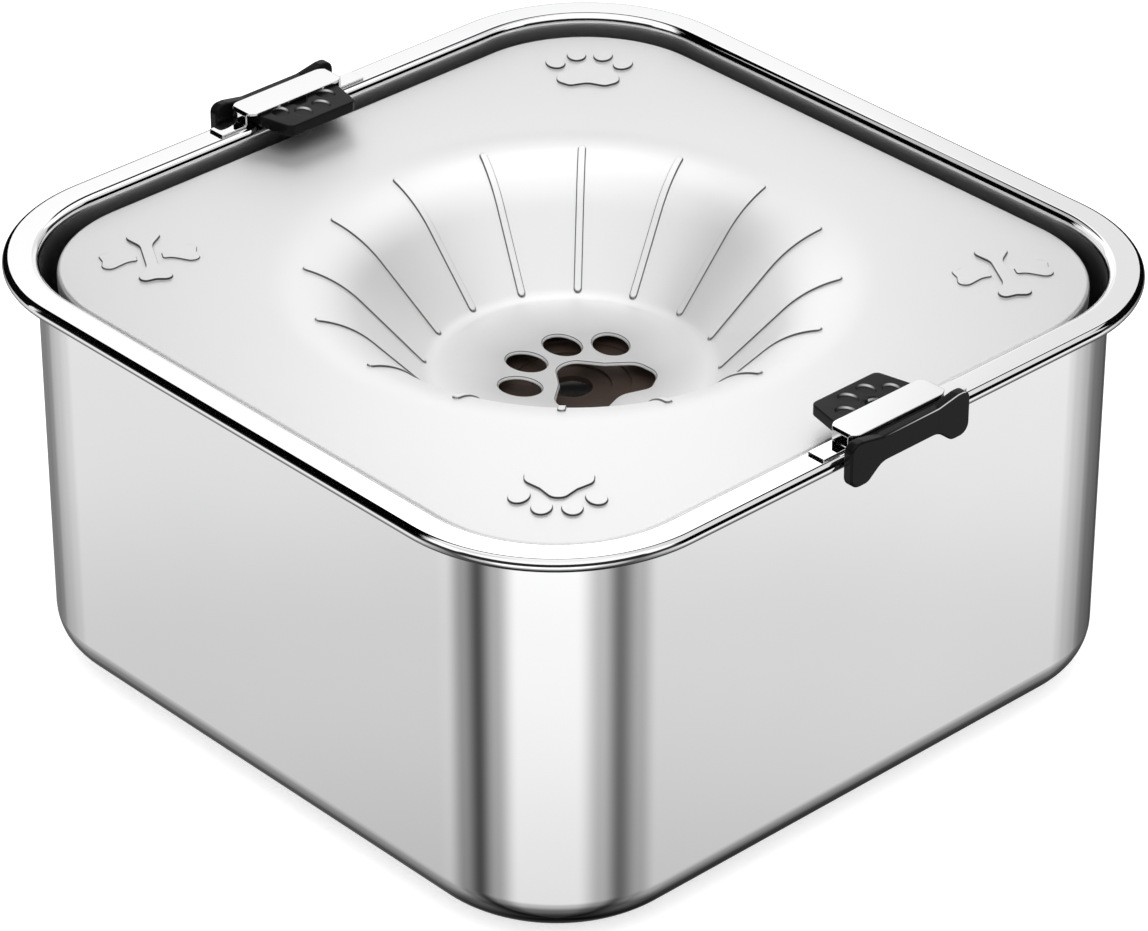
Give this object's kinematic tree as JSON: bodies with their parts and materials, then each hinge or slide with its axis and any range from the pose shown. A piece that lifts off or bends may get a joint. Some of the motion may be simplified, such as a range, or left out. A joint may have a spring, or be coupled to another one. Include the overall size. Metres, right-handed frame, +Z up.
{
  "type": "no-spill water bowl",
  "caption": "Square stainless pet water bowl with a floating drinking plate that lets a little water rise through paw-shaped holes, kept in by sliding locks on the rim.",
  "frame": {"origin": "under the middle of the base, on the surface that the bowl stands on", "axes": "+Z up out of the bowl, +X out through the right lock, +Y along the rim"},
  "size_m": [0.2674, 0.26, 0.1351],
  "materials": {
    "polished_steel": "polished stainless steel",
    "satin_steel": "satin stainless steel",
    "black_plastic": "black moulded plastic, half gloss",
    "brown_plastic": "dark brown moulded plastic",
    "seal_rubber": "grey silicone rubber",
    "pad_rubber": "grey silicone rubber"
  },
  "bodies": {
    "bowl": {"bowl_pan": "polished_steel", "base_pad_1": "pad_rubber", "base_pad_2": "pad_rubber", "base_pad_3": "pad_rubber", "base_pad_4": "pad_rubber", "clip_bridge_right": "polished_steel", "clip_bridge_left": "polished_steel", "stop_stud_right": "polished_steel", "stop_stud_left": "polished_steel"},
    "lock_right": {"lock_slide_right": "black_plastic"},
    "lock_left": {"lock_slide_left": "black_plastic"},
    "float": {"float_plate": "satin_steel", "float_tub": "brown_plastic", "outer_seal": "seal_rubber", "inner_seal": "seal_rubber"}
  },
  "joints": [
    {"name": "lock_right_slide", "type": "slide", "parent": "bowl", "child": "lock_right", "axis": [1, 0, 0], "range_m": [0, 0.012]},
    {"name": "lock_left_slide", "type": "slide", "parent": "bowl", "child": "lock_left", "axis": [-1, 0, 0], "range_m": [0, 0.012]},
    {"name": "float_rise", "type": "slide", "parent": "bowl", "child": "float", "axis": [0, 0, 1], "range_m": [-0.0825, 0.0043], "stiffness_N_per_m": 436, "springref_m": 0.0151}
  ]
}
